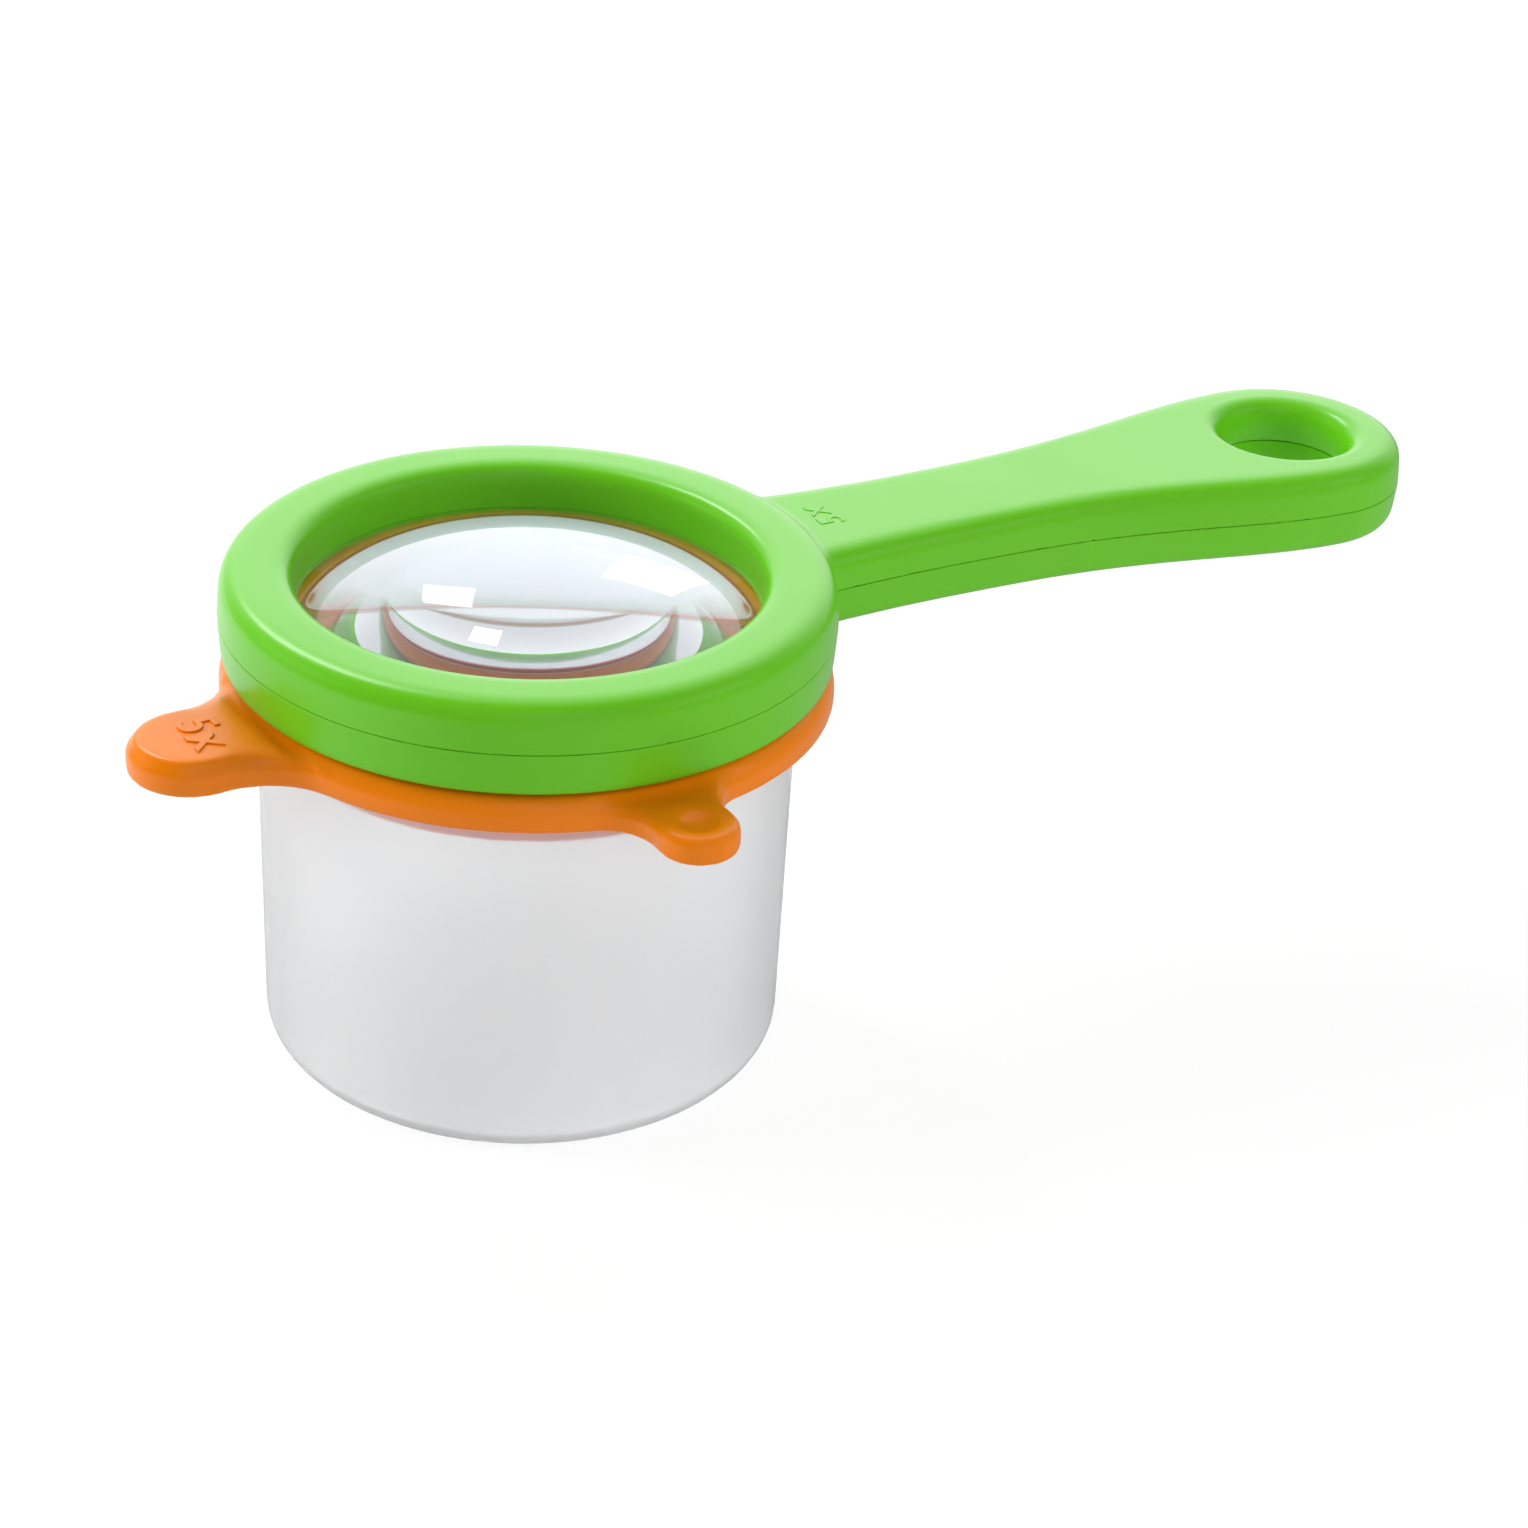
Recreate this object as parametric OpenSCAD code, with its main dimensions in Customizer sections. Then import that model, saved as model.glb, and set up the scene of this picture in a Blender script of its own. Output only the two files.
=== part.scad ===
// Bug catcher jar: a clear jar with a lens lid, and a hand magnifier that rests on the lid.
// The origin is the centre of the jar's base, +Z is up and +X runs along the magnifier's handle.

/* [Jar] */
// Height of the jar from the table to its mouth
jar_h = 53.5; // [40:0.5:90]
// Outside radius of the jar at its mouth
jar_mouth_r = 35.3; // [33:0.1:42]
// How much narrower the outside radius is at the table
jar_draft = 0.6; // [0.2:0.1:2]
// Wall of the jar
jar_wall = 1.4; // [1:0.1:2]
// Floor of the jar
jar_floor = 1.6; // [1.2:0.1:3]
// Outside radius of the rounded corner at the base
jar_corner_r = 4.6; // [3:0.1:9]
// How far the bead at the mouth stands out
bead_w = 0.9; // [0.5:0.1:1.5]
// Height of the bead at the mouth
bead_h = 1.6; // [1:0.1:2.2]

/* [Lid] */
// Height of the lid's rim, seen from the side
rim_h = 4.8; // [4.4:0.1:8]
// Thickness of the lid's plate
plate_t = 2.5; // [2.3:0.1:4]
// Thickness of the skirt round the jar's bead
skirt_wall = 3.5; // [3:0.1:5]
// Radius of the rim's rounded top edge
rim_edge_r = 1.9; // [1:0.1:2.2]
// Radius of the rim's lower edge
rim_low_r = 0.4; // [0.2:0.1:0.8]
// Height of the collar that centres the magnifier
collar_h = 1.5; // [1:0.1:2]
// Wall of the collar
collar_wall = 2.4; // [2:0.1:3]

/* [Lid tabs] */
// Thickness of both tabs
tab_t = 3.6; // [3:0.1:4.2]
// Reach of the pull tab from the jar's axis
pull_reach = 56.2; // [52:0.1:70]
// Half the width of the pull tab
pull_half_w = 8; // [6:0.1:10]
// Direction of the pull tab, counted from the handle
pull_angle = 185.7; // [150:0.1:210]
// Depth of the thumb dish in the pull tab
pull_dish = 0.7; // [0.3:0.1:1]
// Depth of the pocket under the pull tab
pull_pocket = 1.3; // [0.6:0.1:1.5]
// Reach of the small tab from the jar's axis
nub_reach = 51.8; // [49:0.1:60]
// Half the width of the small tab
nub_half_w = 5.2; // [4.5:0.1:7]
// Direction of the small tab, counted from the handle
nub_angle = 271.2; // [240:0.1:300]
// Depth of the dimple in the small tab
nub_dimple = 1.5; // [0.6:0.1:1.8]
// Radius of the dimple at the top of the small tab
nub_dimple_r = 3.6; // [2.5:0.1:4]
// Plan radius where the tabs run into the rim
tab_root_r = 6.4; // [4:0.1:8]
// Radius of the tabs' upper edge
tab_edge_r = 0.9; // [0.4:0.1:1.2]

/* [Lens ring] */
// Depth of the ring's plug below the jar's mouth
plug_depth = 7; // [5:0.1:10]
// Wall of the plug and of the ring's inner wall
plug_wall = 1.6; // [1.2:0.1:1.7]
// Distance from the lid lens's pocket to the plug's outside
plug_w = 4.2; // [3.8:0.1:6]
// Thickness of the ring's web and of the shelf under the lens
shelf_t = 1.5; // [1.2:0.1:2]
// Width of the tongue that keys the ring into the lid
tongue_w = 1.0; // [0.8:0.1:1.3]
// Height of the tongue
tongue_h = 1.0; // [0.6:0.1:1.2]

/* [Lid lens] */
// Thickness of the lid lens's flange
lid_flange_t = 2; // [1.5:0.1:2.5]
// How far the plate covers the flange, and the shelf carries it
flange_lap = 1.7; // [1.2:0.1:2.5]
// Thickness of plate above the flange
flange_cover = 1.1; // [0.8:0.1:1.3]
// Rise of the lid lens above its flange
lid_lens_rise = 2.6; // [1:0.1:2.8]
// Drop of the lid lens below its flange
lid_lens_drop = 7.6; // [3:0.1:10]

/* [Magnifier ring] */
// Height of each shell at the ring
shell_h = 6.2; // [5.6:0.1:9]
// Wall of the shells
shell_wall = 1.8; // [1.5:0.1:2]
// How far the sides lean in over a shell's height
side_draft = 0.4; // [0.2:0.1:0.6]
// Radius of the ring's upper outside edge
ring_top_edge_r = 3; // [2:0.1:3.5]
// Radius of the ring's upper inside edge
ring_window_edge_r = 2.2; // [1:0.1:2.6]
// Radius of the ring's lower edges
ring_low_edge_r = 1.4; // [0.6:0.1:1.7]

/* [Magnifier lens] */
// Thickness of the magnifier lens's flange
mag_flange_t = 2; // [1.5:0.1:2.5]
// How far the shells grip the flange
mag_lap = 1.2; // [0.8:0.1:1.4]
// Rise of the magnifier lens above its flange
mag_rise = 5.9; // [3:0.1:6]
// Drop of the magnifier lens below its flange
mag_drop = 1.2; // [0.4:0.1:1.3]

/* [Handle] */
// Distance from the jar's axis to the centre of the handle's round end
end_x = 118.7; // [100:0.1:150]
// Radius of the handle's round end
end_r = 17.1; // [15:0.1:20]
// Half the width of the handle at its neck
neck_half_w = 10.5; // [9:0.1:13]
// Distance from the jar's axis to the neck
neck_x = 60; // [54:0.5:66]
// How much wider each side is at the ring than at the neck
root_flare = 1.2; // [0.4:0.1:2]
// Height of the top shell at the handle's root
root_h = 5.2; // [4.8:0.1:5.6]
// Height of the top shell at the handle's end
end_h = 6; // [5.6:0.1:7]
// Depth of the bottom shell along the handle
handle_low_h = 5.7; // [5.2:0.1:6.2]
// Radius of the handle's upper edge
handle_top_edge_r = 2.8; // [2:0.1:3.2]
// Radius of the handle's lower edge
handle_low_edge_r = 2; // [1:0.1:2.6]
// Radius of the hanging hole
hole_r = 9.3; // [6:0.1:11]
// Radius of the hole's upper edge
hole_top_edge_r = 2.3; // [1:0.1:2.6]
// Radius of the hole's lower edge
hole_low_edge_r = 1.6; // [1:0.1:2.2]

/* [Shell joint] */
// Width of the bevel along the parting line
seam_bevel = 0.16; // [0.1:0.02:0.3]
// Thickness of the lip on the bottom shell
lip_t = 0.8; // [0.6:0.1:0.9]
// Height of the lip above the parting line
lip_h = 1; // [0.6:0.1:1.4]
// Radius of the locating pins
pin_r = 1.2; // [0.8:0.1:1.3]
// Length of the pins below the parting line
pin_l = 3; // [2:0.1:3.4]
// Wall of the sockets round the pins
socket_wall = 1; // [0.8:0.1:1.1]
// Number of pins round the ring
ring_pins = 6; // [3:1:10]
// Thickness of the rib along the handle
rib_t = 1.2; // [1:0.1:1.6]

/* [Clearances] */
// Gap between curved faces that lift apart or turn
slip_gap = 0.3; // [0.2:0.02:0.4]
// Gap between parts that are fixed together
fixed_gap = 0.06; // [0.04:0.01:0.1]

/* [Hidden] */
$fn = 96;
// Facets of the wide shallow arcs of the lenses
lens_fn = 360;
// How far each cut runs past the face it opens
cut = 1;

// Lid and ring, worked inwards and outwards from the jar's mouth
plug_r = jar_mouth_r - jar_wall - slip_gap;
lid_lens_r = plug_r - plug_w - fixed_gap;
lid_window_r = lid_lens_r - flange_lap;
collar_r = lid_window_r + collar_wall;
skirt_in_r = jar_mouth_r + bead_w + slip_gap;
rim_r = skirt_in_r + skirt_wall;
lid_top_z = jar_h + plate_t;
rim_low_z = lid_top_z - rim_h;
lid_flange_top_z = lid_top_z - flange_cover;
lid_flange_low_z = lid_flange_top_z - lid_flange_t;
tongue_r = plug_r - plug_w / 2;
// How far the root arcs of the tabs run into the rim
tab_sink = 0.06;

// Magnifier, from the collar and the rim
window_r = collar_r + slip_gap;
ring_r = rim_r;
seam_z = lid_top_z + shell_h;
mag_lens_r = window_r + mag_lap;
lens_pocket_r = mag_lens_r + slip_gap;
low_cavity_r = lens_pocket_r + shell_wall;
ring_cavity_r = ring_r - shell_wall;
pin_ring_r = (low_cavity_r + ring_cavity_r) / 2;
socket_r = pin_r + fixed_gap + socket_wall;
grip_pin_shares = [0.06, 0.6];
grip_pin_x = [for (share = grip_pin_shares) neck_x + share * (end_x - neck_x)];

// Handle's plan: root inside the ring's wall, a narrow neck, then a swelling round end
root_x = sqrt(pow(ring_cavity_r, 2) - pow(neck_half_w + root_flare, 2));
hollow_root_x = ring_r + shell_wall;
swell_share = 1.45;
side_steps = 18;
round_steps = 12;
edge_steps = 6;

function smooth(t) = (1 - cos(180 * min(max(t, 0), 1))) / 2;
function half_width(x) = x < neck_x
    ? neck_half_w + root_flare * pow((neck_x - x) / (neck_x - root_x), 2)
    : neck_half_w + (end_r - neck_half_w) * smooth(pow((x - neck_x) / (end_x - neck_x), swell_share));
function grip_h(x) = root_h + (end_h - root_h) * smooth((x - ring_r) / (end_x - end_r - ring_r));

// One side of the handle's outline from x_start to the tip: [x, y, normal x, normal y]
function side(x_start) = concat(
    [for (i = [0 : side_steps - 1])
        let (x = x_start + (end_x - x_start) * i / side_steps,
             step = (end_x - x_start) / side_steps / side_steps,
             lean = (half_width(x + step) - half_width(x - step)) / (2 * step))
        [x, half_width(x), -lean / norm([lean, 1]), 1 / norm([lean, 1])]],
    [for (i = [0 : round_steps])
        let (a = 90 * i / round_steps)
        [end_x + end_r * sin(a), end_r * cos(a), sin(a), cos(a)]]);
// The whole outline: up one side, round the tip and back down the other side
function outline(x_start) = let (s = side(x_start), n = len(s)) concat(
    s, [for (i = [n - 2 : -1 : 0]) [s[i][0], -s[i][1], s[i][2], -s[i][3]]]);
// The outline drawn in by a distance, as plan points
function drawn_in(x_start, inset) = [for (p = outline(x_start))
    [max(p[0] - inset * p[2], x_start), p[1] - inset * p[3]]];

// Skin over the handle's outline. Each level is [inset, share of the height, height above that share].
module draped(x_start, levels, top_h, end_top_h) {
    base = outline(x_start);
    n = len(base);
    k = len(levels);
    points = [for (l = levels) for (p = base)
        let (h = top_h == end_top_h ? top_h : grip_h(p[0]) - root_h + top_h)
        [max(p[0] - l[0] * p[2], x_start), p[1] - l[0] * p[3], l[1] * h + l[2]]];
    walls = [for (j = [0 : k - 2]) for (i = [0 : n - 1])
        let (a = j * n + i, b = j * n + (i + 1) % n)
        each [[a, b + n, a + n], [a, b, b + n]]];
    half = (n - 1) / 2;
    floor_cap = [for (i = [0 : half - 1])
        each [[i, n - 1 - i, i + 1], if (i < half - 1) [i + 1, n - 1 - i, n - 2 - i]]];
    top_cap = [for (f = floor_cap) [f[0], f[2], f[1]] + (k - 1) * [n, n, n]];
    polyhedron(points = points, faces = concat(walls, floor_cap, top_cap));
}

// Levels of an outer skin: bevel at the parting line, leaning side, rounded edge
function outer_levels(edge_r) = concat(
    [[seam_bevel, 0, 0], [0, 0, seam_bevel]],
    [for (i = [0 : edge_steps]) let (a = 90 * i / edge_steps)
        [side_draft + edge_r * (1 - cos(a)), 1, edge_r * (sin(a) - 1)]]);
// Levels of a hollow inside it, one wall further in
function inner_levels(edge_r) = let (r = max(edge_r - shell_wall, seam_bevel)) concat(
    [[shell_wall, 0, -cut]],
    [for (i = [0 : 3]) let (a = 30 * i)
        [shell_wall + side_draft + r * (1 - cos(a)), 1, r * (sin(a) - 1) - shell_wall]]);

// Takes an outward corner p1 of a profile off with a true arc
module corner_off(p0, p1, p2, r) {
    u = (p0 - p1) / norm(p0 - p1);
    v = (p2 - p1) / norm(p2 - p1);
    half_angle = acos(u * v) / 2;
    mid = (u + v) / norm(u + v);
    centre = p1 + mid * r / sin(half_angle);
    tangent = r / tan(half_angle);
    difference() {
        polygon([centre, p1 + u * tangent, p1 - mid * r, p1 + v * tangent]);
        translate(centre) circle(r);
    }
}

// Polygon with outward corners rounded: one radius a point, 0 for a sharp corner
module rounded(points, radii) {
    n = len(points);
    difference() {
        polygon(points);
        for (i = [0 : n - 1])
            if (radii[i] > 0)
                corner_off(points[(i + n - 1) % n], points[i], points[(i + 1) % n], radii[i]);
    }
}

// Spherical cap of the given base radius and rise, standing on z = 0
module cap(base_r, rise) {
    ball_r = (pow(base_r, 2) + pow(rise, 2)) / (2 * rise);
    rotate_extrude()
        intersection() {
            square([base_r, rise]);
            translate([0, rise - ball_r]) circle(ball_r, $fn = lens_fn);
        }
}

module lens(flange_r, flange_t, clear_r, rise, drop) {
    cylinder(r = flange_r, h = flange_t);
    translate([0, 0, flange_t]) cap(clear_r, rise);
    mirror([0, 0, 1]) cap(clear_r, drop);
}

module jar_outside() {
    base_r = jar_mouth_r - jar_draft;
    rounded([[0, 0], [base_r, 0], [jar_mouth_r, jar_h], [0, jar_h]], [0, jar_corner_r, 0, 0]);
    translate([jar_mouth_r - jar_wall, jar_h - bead_h])
        rounded([[0, 0], [jar_wall + bead_w, 0], [jar_wall + bead_w, bead_h], [0, bead_h]],
                [0, bead_h / 3, bead_h / 3, 0]);
}

module jar_inside() {
    base_r = jar_mouth_r - jar_draft - jar_wall;
    lean = jar_draft / jar_h * cut;
    rounded([[0, jar_floor], [base_r, jar_floor], [jar_mouth_r - jar_wall + lean, jar_h + cut], [0, jar_h + cut]],
            [0, jar_corner_r - jar_wall, 0, 0]);
}

module jar() {
    color([0.88, 0.9, 0.9, 0.5])
        rotate_extrude() difference() {
            jar_outside();
            jar_inside();
        }
}

// A tab in its own frame: it points along +X and its underside is z = 0
module tab_blank(reach, half_w) {
    end_at = reach - half_w;
    root = [sqrt(pow(rim_r + tab_root_r - tab_sink, 2) - pow(half_w + tab_root_r, 2)), half_w + tab_root_r];
    inner_x = rim_r - skirt_wall + rim_low_r;
    translate([end_at, 0, 0])
        rotate_extrude()
            rounded([[0, 0], [half_w, 0], [half_w, tab_t], [0, tab_t]], [0, rim_low_r, tab_edge_r, 0]);
    translate([inner_x, 0, 0]) rotate([90, 0, 90])
        linear_extrude(end_at - inner_x)
            rounded([[-half_w, 0], [half_w, 0], [half_w, tab_t], [-half_w, tab_t]],
                    [rim_low_r, rim_low_r, tab_edge_r, tab_edge_r]);
    for (s = [0, 1]) mirror([0, s, 0])
        intersection() {
            translate(root)
                rotate_extrude()
                    rounded([[tab_root_r, 0], [rim_r, 0], [rim_r, tab_t], [tab_root_r, tab_t]],
                            [rim_low_r, 0, 0, tab_edge_r]);
            linear_extrude(tab_t)
                polygon([root, [root[0], 0], [inner_x, 0], root * inner_x / norm(root)]);
        }
}

// Scooped cutter of the given radius and depth at z = 0, drawn out along X by run
module scoop(r, depth, run) {
    ball_r = (pow(r, 2) + pow(depth, 2)) / (2 * depth);
    intersection() {
        union() {
            translate([0, 0, ball_r - depth]) sphere(ball_r, $fn = lens_fn);
            if (run > 0)
                translate([-run, 0, ball_r - depth]) rotate([0, 90, 0]) cylinder(r = ball_r, h = run, $fn = lens_fn);
        }
        translate([-run - r, -r, -depth - cut]) cube([run + 2 * r, 2 * r, depth + 2 * cut]);
    }
}

module pull_tab() {
    end_at = pull_reach - pull_half_w;
    dish_r = pull_half_w - 2 * tab_edge_r;
    pocket_r = pull_half_w - shell_wall;
    difference() {
        tab_blank(pull_reach, pull_half_w);
        translate([end_at, 0, tab_t]) scoop(dish_r, pull_dish, end_at - rim_r);
        translate([end_at, 0, -cut]) cylinder(r = pocket_r, h = pull_pocket + cut);
        translate([rim_r, -pocket_r, -cut]) cube([end_at - rim_r, 2 * pocket_r, pull_pocket + cut]);
    }
}

module nub_tab() {
    difference() {
        tab_blank(nub_reach, nub_half_w);
        translate([nub_reach - nub_half_w, 0, tab_t]) scoop(nub_dimple_r, nub_dimple, 0);
    }
}

module lid() {
    pocket_r = lid_lens_r + fixed_gap;
    color("darkorange") {
        difference() {
            union() {
                rotate_extrude()
                    rounded([[lid_window_r, rim_low_z], [rim_r, rim_low_z], [rim_r, lid_top_z], [lid_window_r, lid_top_z]],
                            [0, rim_low_r, rim_edge_r, 0]);
                rotate_extrude()
                    translate([lid_window_r, jar_h])
                        rounded([[0, 0], [collar_wall, 0], [collar_wall, plate_t + collar_h], [0, plate_t + collar_h]],
                                [0, 0, collar_wall / 4, collar_wall / 4]);
                rotate([0, 0, pull_angle]) translate([0, 0, rim_low_z]) pull_tab();
                rotate([0, 0, nub_angle]) translate([0, 0, rim_low_z]) nub_tab();
            }
            translate([0, 0, rim_low_z - cut]) cylinder(r = skirt_in_r, h = jar_h - rim_low_z + cut);
            cylinder(r = pocket_r, h = lid_flange_top_z);
            translate([0, 0, jar_h - cut]) difference() {
                cylinder(r = tongue_r + tongue_w / 2 + fixed_gap, h = tongue_h + fixed_gap + cut);
                cylinder(r = tongue_r - tongue_w / 2 - fixed_gap, h = tongue_h + fixed_gap + cut);
            }
        }
    }
}

module lid_lens() {
    color([0.85, 0.93, 0.95, 0.4])
        translate([0, 0, lid_flange_low_z])
            lens(lid_lens_r, lid_flange_t, lid_window_r - slip_gap, lid_lens_rise, lid_lens_drop);
}

module lens_ring() {
    wall_r = lid_lens_r + fixed_gap;
    shelf_z = lid_flange_low_z;
    color("orangered")
        rotate_extrude() {
            translate([plug_r - plug_wall, jar_h - plug_depth])
                rounded([[0, 0], [plug_wall, 0], [plug_wall, plug_depth], [0, plug_depth]],
                        [plug_wall / 4, plug_wall / 2, 0, 0]);
            translate([wall_r, jar_h - shelf_t]) square([plug_w, shelf_t]);
            translate([lid_window_r, shelf_z - shelf_t]) square([wall_r + plug_wall - lid_window_r, shelf_t]);
            translate([wall_r, shelf_z - shelf_t]) square([plug_wall, jar_h - shelf_z + shelf_t]);
            translate([tongue_r - tongue_w / 2, jar_h - shelf_t]) square([tongue_w, shelf_t + tongue_h]);
        }
}

module magnifier_lens() {
    color([0.85, 0.93, 0.95, 0.4])
        translate([0, 0, seam_z - mag_flange_t])
            lens(mag_lens_r, mag_flange_t, window_r - slip_gap, mag_rise, mag_drop);
}

// Cutter for the hanging hole: a true bore that opens with a rounded edge at z = h
module hole_cutter(h, edge_r) {
    flare_r = hole_r + edge_r;
    translate([end_x, 0, 0]) {
        translate([0, 0, -cut]) cylinder(r = hole_r, h = h + 2 * cut);
        rotate_extrude()
            difference() {
                translate([0, h - edge_r]) square([flare_r, edge_r + cut]);
                translate([flare_r, h - edge_r]) circle(edge_r);
            }
        cylinder(r1 = hole_r + seam_bevel, r2 = hole_r, h = seam_bevel);
    }
}

// One half of the magnifier standing on z = 0, its parting face down
module half_shell(h, root_top_h, end_top_h, edge_r, window_edge_r, handle_edge_r, hole_edge_r, cavity_r) {
    difference() {
        union() {
            rotate_extrude() difference() {
                polygon(concat(
                    [[window_r, 0], [ring_r - seam_bevel, 0], [ring_r, seam_bevel]],
                    [for (i = [0 : 2 * edge_steps]) let (a = 45 * i / edge_steps)
                        [ring_r - side_draft - edge_r * (1 - cos(a)), h - edge_r * (1 - sin(a))]],
                    [[window_r, h]]));
                corner_off([window_r, 0], [window_r, h], [ring_r, h], window_edge_r);
            }
            draped(root_x, outer_levels(handle_edge_r), root_top_h, end_top_h);
        }
        rotate_extrude()
            polygon([[cavity_r, -cut], [ring_cavity_r, -cut],
                     [ring_cavity_r - side_draft, h - shell_wall], [cavity_r, h - shell_wall]]);
        difference() {
            draped(hollow_root_x, inner_levels(handle_edge_r), root_top_h, end_top_h);
            translate([end_x, 0, -cut]) cylinder(r = hole_r + hole_edge_r / 2 + shell_wall, h = h + 2 * cut);
        }
        hole_cutter(end_top_h, hole_edge_r);
    }
}

// Round posts in the ring and the handle, from z = low up into the wall above
module posts(r, low, ring_top, grip_top) {
    for (i = [0 : ring_pins - 1])
        rotate([0, 0, 360 * (i + 1 / 2) / ring_pins])
            translate([pin_ring_r, 0, low]) cylinder(r = r, h = ring_top - low);
    for (x = grip_pin_x)
        translate([x, 0, low]) cylinder(r = r, h = grip_top - low);
}

// Flat band that follows the handle's wall on the inside
module grip_lip(gap, h) {
    linear_extrude(h)
        difference() {
            polygon(drawn_in(hollow_root_x, shell_wall - lip_t - gap));
            polygon([for (p = drawn_in(hollow_root_x, shell_wall))
                [p[0] > hollow_root_x ? p[0] : p[0] - cut, p[1]]]);
        }
}

module magnifier_top_shell() {
    color("limegreen")
        translate([0, 0, seam_z]) {
            difference() {
                half_shell(shell_h, root_h, end_h, ring_top_edge_r, ring_window_edge_r,
                           handle_top_edge_r, hole_top_edge_r, window_r + shell_wall);
                translate([0, 0, -cut]) difference() {
                    cylinder(r = ring_cavity_r + lip_t + fixed_gap, h = lip_h + fixed_gap + cut);
                    cylinder(r = window_r + shell_wall, h = lip_h + fixed_gap + cut);
                }
                translate([0, 0, -cut]) grip_lip(fixed_gap, lip_h + fixed_gap + cut);
            }
            posts(pin_r, -pin_l, shell_h - shell_wall / 2, root_h - shell_wall / 2);
            posts(socket_r, 0, shell_h - shell_wall / 2, root_h - shell_wall / 2);
        }
}

module magnifier_bottom_shell() {
    color("limegreen")
        translate([0, 0, seam_z]) mirror([0, 0, 1])
            difference() {
                union() {
                    half_shell(shell_h, handle_low_h, handle_low_h, ring_low_edge_r, ring_low_edge_r / 2,
                               handle_low_edge_r, hole_low_edge_r, low_cavity_r);
                    posts(socket_r, 0, shell_h - shell_wall / 2, handle_low_h - shell_wall / 2);
                    translate([hollow_root_x, -rib_t / 2, lip_h])
                        cube([end_x - hole_r - hollow_root_x - shell_wall, rib_t, handle_low_h - shell_wall / 2 - lip_h]);
                    mirror([0, 0, 1]) grip_lip(0, lip_h);
                    translate([0, 0, -lip_h]) difference() {
                        cylinder(r = ring_cavity_r + lip_t, h = lip_h + seam_bevel);
                        translate([0, 0, -cut]) cylinder(r = ring_cavity_r, h = lip_h + seam_bevel + 2 * cut);
                    }
                }
                translate([0, 0, -cut]) cylinder(r = lens_pocket_r, h = mag_flange_t + cut);
                posts(pin_r + fixed_gap, -cut, pin_l + fixed_gap, pin_l + fixed_gap);
            }
}

jar();
lid();
lid_lens();
lens_ring();
magnifier_lens();
magnifier_bottom_shell();
magnifier_top_shell();
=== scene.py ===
import math

import bpy
import bmesh
from mathutils import Matrix, Vector


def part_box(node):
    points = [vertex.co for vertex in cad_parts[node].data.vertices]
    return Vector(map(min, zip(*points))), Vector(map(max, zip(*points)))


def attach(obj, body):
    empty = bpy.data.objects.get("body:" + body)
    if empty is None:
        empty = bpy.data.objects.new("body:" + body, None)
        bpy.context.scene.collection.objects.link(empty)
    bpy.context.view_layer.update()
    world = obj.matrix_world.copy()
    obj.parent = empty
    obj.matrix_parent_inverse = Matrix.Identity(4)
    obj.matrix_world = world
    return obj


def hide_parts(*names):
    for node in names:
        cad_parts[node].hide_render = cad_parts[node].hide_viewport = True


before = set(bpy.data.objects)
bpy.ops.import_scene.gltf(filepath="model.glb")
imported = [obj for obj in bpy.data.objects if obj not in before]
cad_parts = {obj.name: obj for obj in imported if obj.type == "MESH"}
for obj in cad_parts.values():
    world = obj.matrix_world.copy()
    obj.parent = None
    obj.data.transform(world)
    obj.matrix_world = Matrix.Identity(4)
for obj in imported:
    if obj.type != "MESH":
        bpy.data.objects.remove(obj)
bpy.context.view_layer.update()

mm = 0.001


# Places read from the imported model, in millimetres

def low(node):
    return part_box(node)[0] / mm


def high(node):
    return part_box(node)[1] / mm


place = {
    "lidTop": low("magnifier_bottom_shell").z,
    "ringTop": high("magnifier_top_shell").z,
    "ringRadius": -low("magnifier_bottom_shell").x,
    "handleTip": high("magnifier_top_shell").x,
    "rimLow": low("lid").z,
    "jarMouth": high("jar").z,
    "beadRadius": high("jar").x,
}
place["seam"] = (place["lidTop"] + place["ringTop"]) / 2


# Small helpers for working by hand in edit mode

def clearSelection():
    if bpy.context.object and bpy.context.object.mode != "OBJECT":
        bpy.ops.object.mode_set(mode="OBJECT")
    bpy.ops.object.select_all(action="DESELECT")


def makeActive(piece):
    clearSelection()
    piece.select_set(True)
    bpy.context.view_layer.objects.active = piece


def startLoop(name, count, radius, height, fill="NOTHING"):
    clearSelection()
    bpy.ops.mesh.primitive_circle_add(vertices=count, radius=radius * mm, fill_type=fill,
                                      location=(0, 0, height * mm))
    piece = bpy.context.object
    piece.name = piece.data.name = name
    bpy.ops.object.transform_apply(location=True, rotation=True, scale=True)
    return piece


def arcPoints(before, corner, after, radius, steps):
    # true arc that takes one corner of a profile off
    p, a, b = Vector(corner), Vector(before), Vector(after)
    u, v = (a - p).normalized(), (b - p).normalized()
    half = u.angle(v) / 2
    centre = p + (u + v).normalized() * radius / math.sin(half)
    start = p + u * radius / math.tan(half) - centre
    end = p + v * radius / math.tan(half) - centre
    turn = start.angle_signed(end)
    points = []
    for i in range(steps + 1):
        angle = -turn * i / steps
        points.append((centre.x + start.x * math.cos(angle) - start.y * math.sin(angle),
                       centre.y + start.x * math.sin(angle) + start.y * math.cos(angle)))
    return points


def roundedProfile(corners, closed=True, steps=8):
    # corners are (radius, height, edge radius)
    stations = []
    count = len(corners)
    for i, (r, z, edge) in enumerate(corners):
        if edge > 0:
            stations += arcPoints(corners[i - 1][:2], (r, z), corners[(i + 1) % count][:2], edge, steps)
        else:
            stations.append((r, z))
    if closed:
        stations.append(stations[0])
    return stations


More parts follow.
